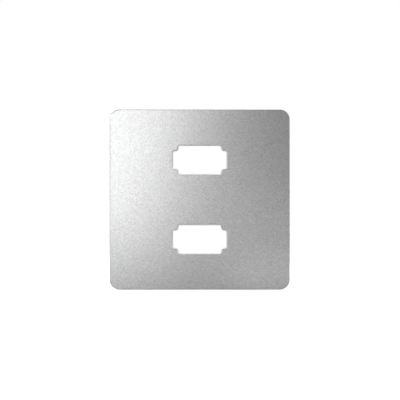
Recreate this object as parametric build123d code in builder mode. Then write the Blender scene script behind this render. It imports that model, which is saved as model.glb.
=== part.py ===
"""Cover plate of a twin port wall socket, moulded in one piece.

Millimetres. X runs to the right and Z up as seen from the front, and Y runs into the wall.
The origin is the centre of the rear rim, which seats on the mounting frame.
"""

import os

from build123d import *

# Face and skirt
plate_size = 55.0  # side of the square, over the rear rim
plate_depth = 8.0  # front face to rear rim
corner_radius = 3.0  # upright corners, at the rear rim
face_thickness = 2.0
skirt_thickness = 1.6
draft_angle = 0.5  # degrees by which the skirt narrows towards the front
front_edge_radius = 0.15
floor_bevel = 0.6  # inside corner between face and skirt

# Port openings and the collars behind them
port_pitch = 24.2
port_width = 16.2  # clear opening, at the rear end of a collar
port_height = 8.45
port_flare = 0.35  # by which an opening is wider at the front, on each side
port_notch = 1.65  # side of the square step in each corner of an opening
port_corner_radius = 0.4
notch_flat = 0.25  # straight run of the step between its corner and its rounded tip
port_edge_radius = 0.1  # soft front edge of an opening
collar_thickness = 1.2
collar_height = 1.6
collar_corner_radius = 0.6

# Ribs behind the face
rib_thickness = 1.0
rib_height = 1.0

# Snap legs
leg_width = 6.0
leg_thickness = 1.6  # at the root
leg_tip_thickness = 1.1
leg_foot = 0.6  # flare at the root
leg_clearance = 3.0  # room between a leg and the skirt
catch_gap = 1.5  # thickness of the mounting frame that the barbs hook behind
barb_depth = 0.9
barb_return = 0.6  # slope that lets the plate be pulled off again
barb_land = 0.4
barb_lead = 2.5  # slope that guides the plate on
leg_edge_radius = 0.2

# Places that follow from the sizes above
hollow_size = plate_size - 2 * skirt_thickness
hollow_depth = plate_depth - face_thickness
hollow_corner_radius = max(corner_radius - skirt_thickness, 2 * floor_bevel)
notch_radius = port_notch - port_corner_radius - notch_flat
port_soft_edge = min(port_edge_radius, (notch_radius - port_flare) / 2)
port_depth = face_thickness + collar_height
leg_outer = hollow_size / 2 - leg_clearance
rim_plane = Plane.XZ
floor_plane = Plane.XZ.offset(hollow_depth)
front_plane = Plane.XZ.offset(plate_depth)
throat_plane = Plane.XZ.offset(plate_depth - port_depth)


def leg_profile(side):
    """Points of a snap leg seen from above, from its root round the barb; side is +1 right, -1 left."""
    crest = catch_gap + barb_return
    tip = crest + barb_land + barb_lead
    points = [
        (leg_outer + leg_foot, -hollow_depth),
        (leg_outer, leg_foot - hollow_depth),
        (leg_outer, catch_gap),
        (leg_outer + barb_depth, crest),
        (leg_outer + barb_depth, crest + barb_land),
        (leg_outer, tip),
        (leg_outer - leg_tip_thickness, tip),
        (leg_outer - leg_thickness, leg_foot - hollow_depth),
        (leg_outer - leg_thickness - leg_foot, -hollow_depth),
    ]
    return [(side * x, y) for x, y in points]


def notched_rectangle(grow):
    """A wide and a tall rectangle that leave a step in each corner, grown outwards from a port opening."""
    Rectangle(port_width + 2 * grow, port_height - 2 * port_notch + 2 * grow)
    Rectangle(port_width - 2 * port_notch + 2 * grow, port_height + 2 * grow)


with BuildSketch() as port_mouth:
    notched_rectangle(port_flare)
    fillet(port_mouth.vertices().sort_by_distance((0, 0))[4:], port_corner_radius + port_flare)
    fillet(port_mouth.vertices().sort_by_distance((0, 0))[:4], notch_radius - port_flare)

with BuildSketch() as port_throat:
    notched_rectangle(0)
    fillet(port_throat.vertices().sort_by_distance((0, 0))[4:], port_corner_radius)
    fillet(port_throat.vertices().sort_by_distance((0, 0))[:4], notch_radius)

with BuildSketch() as collar:
    notched_rectangle(collar_thickness)
    fillet(collar.vertices().sort_by_distance((0, 0))[4:], collar_corner_radius)

with BuildPart() as cover_plate:
    # Block that narrows from the rear rim to a soft-edged front
    with BuildSketch(rim_plane):
        RectangleRounded(plate_size, plate_size, corner_radius)
    extrude(amount=plate_depth, taper=draft_angle)
    fillet(cover_plate.faces().sort_by(Axis.Y)[0].edges(), front_edge_radius)

    # Hollow behind the face
    with BuildSketch(rim_plane):
        RectangleRounded(hollow_size, hollow_size, hollow_corner_radius)
    extrude(amount=hollow_depth, taper=draft_angle, mode=Mode.SUBTRACT)
    floor_face = cover_plate.faces().filter_by(Axis.Y).sort_by(Axis.Y)[1]
    chamfer(floor_face.edges(), floor_bevel)

    # Ribs from skirt to skirt: a spine, and one level with each port
    with BuildSketch(floor_plane):
        Rectangle(rib_thickness, hollow_size)
        with GridLocations(0, port_pitch, 1, 2):
            Rectangle(hollow_size, rib_thickness)
    extrude(amount=-rib_height)

    # Collars
    with BuildSketch(floor_plane):
        with GridLocations(0, port_pitch, 1, 2):
            add(collar.sketch)
    extrude(amount=-collar_height)

    # Snap legs, level with the ports
    for side in (1, -1):
        for level in (port_pitch / 2, -port_pitch / 2):
            with BuildSketch(Plane.XY.offset(level)) as leg:
                with BuildLine():
                    Polyline(leg_profile(side), close=True)
                make_face()
                fillet(leg.vertices().group_by(Axis.Y)[-1], leg_edge_radius)
            extrude(amount=leg_width / 2, both=True)

    # Port openings through face, ribs and collars, with soft front edges
    for level in (port_pitch / 2, -port_pitch / 2):
        with BuildSketch(front_plane):
            with Locations((0, level)):
                add(port_mouth.sketch)
        with BuildSketch(throat_plane):
            with Locations((0, level)):
                add(port_throat.sketch)
        loft(ruled=True, mode=Mode.SUBTRACT)
    front_face = cover_plate.faces().filter_by(Axis.Y).sort_by(Axis.Y)[0]
    fillet(front_face.inner_wires().edges(), port_soft_edge)

cover_plate.part.label = "cover_plate"

os.makedirs("parts", exist_ok=True)
export_step(cover_plate.part, "parts/cover_plate.step")
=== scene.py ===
"""Cover plate of a twin USB wall socket: satin silver lacquer on the show side, bare moulding behind."""

import bpy
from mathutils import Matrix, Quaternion, Vector


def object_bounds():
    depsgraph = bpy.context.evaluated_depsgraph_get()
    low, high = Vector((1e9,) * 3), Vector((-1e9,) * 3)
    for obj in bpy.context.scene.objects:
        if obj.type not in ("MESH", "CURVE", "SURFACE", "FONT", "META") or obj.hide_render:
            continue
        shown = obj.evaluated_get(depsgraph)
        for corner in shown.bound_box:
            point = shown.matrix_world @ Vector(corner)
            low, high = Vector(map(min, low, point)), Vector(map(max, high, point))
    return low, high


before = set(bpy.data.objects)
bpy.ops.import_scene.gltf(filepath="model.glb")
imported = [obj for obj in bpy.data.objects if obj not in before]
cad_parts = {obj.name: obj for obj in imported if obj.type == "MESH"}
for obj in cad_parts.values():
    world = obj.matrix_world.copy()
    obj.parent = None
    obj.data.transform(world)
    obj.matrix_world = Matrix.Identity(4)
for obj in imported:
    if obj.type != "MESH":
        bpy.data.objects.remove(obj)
cad_low, cad_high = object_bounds()

PLATE = "cover_plate"

# Camera: a long lens square on to the face
LENS_MM = 500.0
SENSOR_MM = 36.0
VIEW_WIDTH = 0.12193  # metres across the picture, at the face
VIEW_CENTRE = (0.00009, -0.00015)  # x and z in the middle of the picture
VIEW_END = 100.0

# Plate sizes that the finish follows, in metres
FACE_Y = cad_low.y
HALF_SIDE = cad_high.x
CORNER_RADIUS = 0.003
PORT_LEVEL = 0.0121  # height of an opening's centre above or below the plate's
PORT_REACH = (0.0089, 0.0051)  # half the width and height of a box round an opening

# Lacquer: a satin coat with metal flakes, which ends in a mist of fine drops
LACQUER_COLOUR = (0.4485, 0.45, 0.4515)
LACQUER_METALLIC = 0.25
FACE_ROUGHNESS = 0.25
SKIRT_ROUGHNESS = 0.42
FLAKE_SIZE = 0.00024
FLAKE_CONTRAST = 0.34
FLAKE_TILT = 0.016
FACE_COAT_END = (0.0002, 0.0006)  # depth behind the face where the coat thins out in the openings
SKIRT_COAT_END = (-0.0010, -0.0004)  # distance outwards from the outline where it thins out on the rim
MIST_SIZE = 0.0002
MIST_REACH = 0.0004

# Bare moulding
MOULDING_COLOUR = (0.62, 0.605, 0.57)
MOULDING_ROUGHNESS = 0.42
POLISHED_ROUGHNESS = 0.35
TEXTURE_SIZE = 0.00022
TEXTURE_HEIGHT = 0.000012
HEIGHT_UNIT = 1.0  # the texture's height is in metres
FLOW_SIZE = 0.011
FLOW_CONTRAST = 0.08

# Light: small soft panels near the plate give the face its sheen, and wide lamps behind it light the rest
INWARD = (0.0, 1.0, 0.0)
PANELS = {
    "key": dict(place=(-0.033, -0.240, 0.024), aim=INWARD, turn=-0.225,
                width=0.048, height=0.089, power=0.122),
    "fill": dict(place=(0.021, -0.128, -0.011), aim=INWARD,
                 width=0.036, height=0.032, power=0.0031),
    "sill": dict(place=(0.055, -0.088, -0.0244), aim=INWARD,
                 width=0.092, height=0.0056, power=0.0042),
    "edge": dict(place=(-0.065, -0.022, 0.0065), aim=(3.0, 1.0, 0.0),
                 width=0.030, height=0.067, power=0.0097),
}
WIDE_LAMPS = {
    "left": dict(place=(-0.45, 0.17, 0.20), size=0.36, power=2.5),
    "right": dict(place=(0.45, 0.17, 0.18), size=0.36, power=1.6),
    "top": dict(place=(0.0, 0.30, 0.60), size=0.80, power=2.2),
    "back": dict(place=(0.05, 0.42, 0.48), size=0.80, power=2.2),
}
AMBIENT = 0.01
ROOM = 0.2  # strength of the room in front of the plate, as the plate mirrors it
ROOM_END = (-0.3, 0.3)  # Y of a mirrored ray's direction where the room turns to white

# Floor
FLOOR_SIZE = 6.0
FLOOR_GREY = 0.50  # as the camera sees it
FLOOR_BOUNCE = 0.15  # as it lights the plate
GLOW_NEAR = 0.65  # close to the plate, with 1 far from it
GLOW_REACH = (0.10, 0.45)  # distances from the plate between which it changes

# Middle of the noise and of the random colours of cells, which run from 0 to 1
MIDDLE = 0.5

# Sockets of a mix node that take and give colours
MIX_FIRST = 6
MIX_SECOND = 7
MIX_RESULT = 2


class Tree:
    """Adds nodes to one node tree and links their inputs."""

    def __init__(self, tree):
        self.tree = tree
        tree.nodes.clear()

    def add(self, kind, inputs=None, **settings):
        node = self.tree.nodes.new(kind)
        for name, value in settings.items():
            setattr(node, name, value)
        for key, value in (inputs or {}).items():
            self.feed(node.inputs[key], value)
        return node

    def feed(self, socket, value):
        if isinstance(value, bpy.types.NodeSocket):
            self.tree.links.new(value, socket)
        else:
            socket.default_value = value

    def math(self, operation, *values):
        node = self.add("ShaderNodeMath", dict(enumerate(values)), operation=operation)
        return node.outputs[0]

    def vector(self, operation, *values):
        node = self.add("ShaderNodeVectorMath", dict(enumerate(values)), operation=operation)
        return node.outputs["Value" if operation == "LENGTH" else "Vector"]

    def scale(self, colour, factor):
        node = self.add("ShaderNodeVectorMath", {0: colour, "Scale": factor}, operation="SCALE")
        return node.outputs["Vector"]

    def ramp(self, value, start, end, low=0.0, high=1.0):
        """A smooth step from low at start to high at end."""
        inputs = {"Value": value, "From Min": start, "From Max": end, "To Min": low, "To Max": high}
        node = self.add("ShaderNodeMapRange", inputs, interpolation_type="SMOOTHSTEP")
        return node.outputs[0]

    def mix(self, factor, first, second):
        inputs = {0: factor, MIX_FIRST: first, MIX_SECOND: second}
        node = self.add("ShaderNodeMix", inputs, data_type="RGBA")
        return node.outputs[MIX_RESULT]


def grey(level):
    return (level, level, level, 1.0)


def noise(t, point, size):
    """Soft random values from 0 to 1, mostly near the middle, that vary over about the given length."""
    node = t.add("ShaderNodeTexNoise", {"Vector": point, "Scale": 1.0 / size})
    return node.outputs[0]


def lacquer_masks(t, point):
    """Two masks with misty edges: the face, and the whole sprayed show side, which is face and skirt."""
    mist = t.math("MULTIPLY", t.math("SUBTRACT", noise(t, point, MIST_SIZE), MIDDLE), MIST_REACH)
    depth = t.math("SUBTRACT", t.add("ShaderNodeSeparateXYZ", {0: point}).outputs["Y"], FACE_Y)
    face = t.ramp(t.math("ADD", depth, mist), *FACE_COAT_END, 1.0, 0.0)
    flat = t.vector("MULTIPLY", t.vector("ABSOLUTE", point), (1.0, 0.0, 1.0))
    core = HALF_SIDE - CORNER_RADIUS
    beyond = t.vector("MAXIMUM", t.vector("SUBTRACT", flat, (core, 0.0, core)), (0.0, 0.0, 0.0))
    skin = t.math("SUBTRACT", t.vector("LENGTH", beyond), CORNER_RADIUS)
    side = t.ramp(t.math("ADD", skin, mist), *SKIRT_COAT_END)
    return face, t.math("MAXIMUM", face, side)


def port_mask(t, point):
    """1 inside the two openings, whose walls are polished, 0 elsewhere."""
    parts = t.add("ShaderNodeSeparateXYZ", {0: t.vector("ABSOLUTE", point)})
    across = t.math("LESS_THAN", parts.outputs["X"], PORT_REACH[0])
    level = t.math("ABSOLUTE", t.math("SUBTRACT", parts.outputs["Z"], PORT_LEVEL))
    return t.math("MULTIPLY", across, t.math("LESS_THAN", level, PORT_REACH[1]))


def plate_colour(t, point, flake, lacquer):
    """Lighter and darker flakes in the lacquer, and faint flow marks in the moulding."""
    lift = t.add("ShaderNodeSeparateXYZ", {0: flake}).outputs["Y"]
    flake_tone = t.math("MULTIPLY_ADD", lift, FLAKE_CONTRAST, 1.0)
    flow_tone = t.math("MULTIPLY_ADD", noise(t, point, FLOW_SIZE), FLOW_CONTRAST, 1.0 - FLOW_CONTRAST / 2)
    return t.mix(lacquer, t.scale(MOULDING_COLOUR, flow_tone), t.scale(LACQUER_COLOUR, flake_tone))


def plate_roughness(t, face, lacquer, port):
    bare = t.ramp(port, 0.0, 1.0, MOULDING_ROUGHNESS, POLISHED_ROUGHNESS)
    coat = t.ramp(face, 0.0, 1.0, SKIRT_ROUGHNESS, FACE_ROUGHNESS)
    return t.ramp(lacquer, 0.0, 1.0, bare, coat)


def plate_normal(t, point, flake, lacquer, port):
    """A fine texture on the moulding, none on its polished walls, and flakes that lie slightly askew."""
    smooth = t.math("MAXIMUM", lacquer, port)
    relief = t.ramp(smooth, 0.0, 1.0, TEXTURE_HEIGHT, 0.0)
    height = t.math("MULTIPLY", noise(t, point, TEXTURE_SIZE), relief)
    bump = t.add("ShaderNodeBump", {"Height": height, "Distance": HEIGHT_UNIT})
    tilt = t.scale(flake, t.math("MULTIPLY", lacquer, FLAKE_TILT))
    return t.vector("NORMALIZE", t.vector("ADD", bump.outputs[0], tilt))


def plate_material():
    material = bpy.data.materials.new("silver_lacquer")
    material.use_nodes = True
    t = Tree(material.node_tree)
    point = t.add("ShaderNodeTexCoord").outputs["Object"]
    face, lacquer = lacquer_masks(t, point)
    port = port_mask(t, point)
    cells = t.add("ShaderNodeTexVoronoi", {"Vector": point, "Scale": 1.0 / FLAKE_SIZE})
    flake = t.vector("SUBTRACT", cells.outputs["Color"], (MIDDLE, MIDDLE, MIDDLE))
    finish = {
        "Base Color": plate_colour(t, point, flake, lacquer),
        "Metallic": t.math("MULTIPLY", lacquer, LACQUER_METALLIC),
        "Roughness": plate_roughness(t, face, lacquer, port),
        "Normal": plate_normal(t, point, flake, lacquer, port),
    }
    shader = t.add("ShaderNodeBsdfPrincipled", finish)
    t.add("ShaderNodeOutputMaterial", {"Surface": shader.outputs[0]})
    return material


def dress_plate():
    material = plate_material()
    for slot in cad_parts[PLATE].material_slots:
        slot.material = material


def background_rays(t):
    """Masks for rays that should meet a white background: seen directly, and mirrored or through glass."""
    path = t.add("ShaderNodeLightPath")
    mirrored = t.math("MAXIMUM", path.outputs["Is Glossy Ray"], path.outputs["Is Transmission Ray"])
    return path.outputs["Is Camera Ray"], mirrored


def make_world():
    """White where the camera sees it; the plate mirrors a grey room in front of it and white behind it."""
    world = bpy.data.worlds.new("studio")
    bpy.context.scene.world = world
    world.use_nodes = True
    t = Tree(world.node_tree)
    seen, mirrored = background_rays(t)
    direction = t.add("ShaderNodeSeparateXYZ", {0: t.add("ShaderNodeTexCoord").outputs["Generated"]})
    shown = t.math("MULTIPLY", mirrored, t.ramp(direction.outputs["Y"], *ROOM_END, ROOM, 1.0))
    strength = t.math("MAXIMUM", AMBIENT, t.math("MAXIMUM", seen, shown))
    background = t.add("ShaderNodeBackground", {"Color": grey(1.0), "Strength": strength})
    t.add("ShaderNodeOutputWorld", {"Surface": background.outputs[0]})


def make_floor():
    """White where nothing shades it; near the plate it glows less, so that the shadow shows."""
    bpy.ops.mesh.primitive_plane_add(size=FLOOR_SIZE, location=(0.0, 0.0, cad_low.z))
    floor = bpy.context.object
    floor.name = "floor"
    material = bpy.data.materials.new("floor_white")
    material.use_nodes = True
    t = Tree(material.node_tree)
    away = t.vector("LENGTH", t.add("ShaderNodeTexCoord").outputs["Object"])
    seen, mirrored = background_rays(t)
    strength = t.math("MULTIPLY_ADD", seen, t.ramp(away, *GLOW_REACH, GLOW_NEAR, 1.0), mirrored)
    lit = t.add("ShaderNodeBsdfDiffuse", {"Color": t.mix(seen, grey(FLOOR_BOUNCE), grey(FLOOR_GREY))})
    glow = t.add("ShaderNodeEmission", {"Color": grey(1.0), "Strength": strength})
    both = t.add("ShaderNodeAddShader", {0: lit.outputs[0], 1: glow.outputs[0]})
    t.add("ShaderNodeOutputMaterial", {"Surface": both.outputs[0]})
    floor.data.materials.append(material)


def make_lamp(name, place, aim, width, height, power, turn=0.0):
    """A soft rectangular lamp that looks along aim, turned about that line."""
    data = bpy.data.lights.new(name, "AREA")
    data.shape = "RECTANGLE"
    data.size = width
    data.size_y = height
    data.energy = power
    lamp = bpy.data.objects.new(name, data)
    lamp.location = place
    facing = Vector(aim).to_track_quat("-Z", "Y") @ Quaternion((0.0, 0.0, 1.0), turn)
    lamp.rotation_euler = facing.to_euler()
    lamp.visible_camera = False
    bpy.context.scene.collection.objects.link(lamp)


def make_lights():
    for name, panel in PANELS.items():
        make_lamp(name, **panel)
    for name, lamp in WIDE_LAMPS.items():
        place = lamp["place"]
        make_lamp(name, place, -Vector(place), lamp["size"], lamp["size"], lamp["power"])


def make_camera():
    data = bpy.data.cameras.new("camera")
    data.sensor_width = SENSOR_MM
    data.lens = LENS_MM
    data.clip_end = VIEW_END
    camera = bpy.data.objects.new("camera", data)
    camera.location = (VIEW_CENTRE[0], FACE_Y - VIEW_WIDTH * LENS_MM / SENSOR_MM, VIEW_CENTRE[1])
    camera.rotation_euler = Vector(INWARD).to_track_quat("-Z", "Y").to_euler()
    bpy.context.scene.collection.objects.link(camera)
    bpy.context.scene.camera = camera


dress_plate()
make_world()
make_floor()
make_lights()
make_camera()
bpy.context.scene.view_settings.view_transform = "Standard"
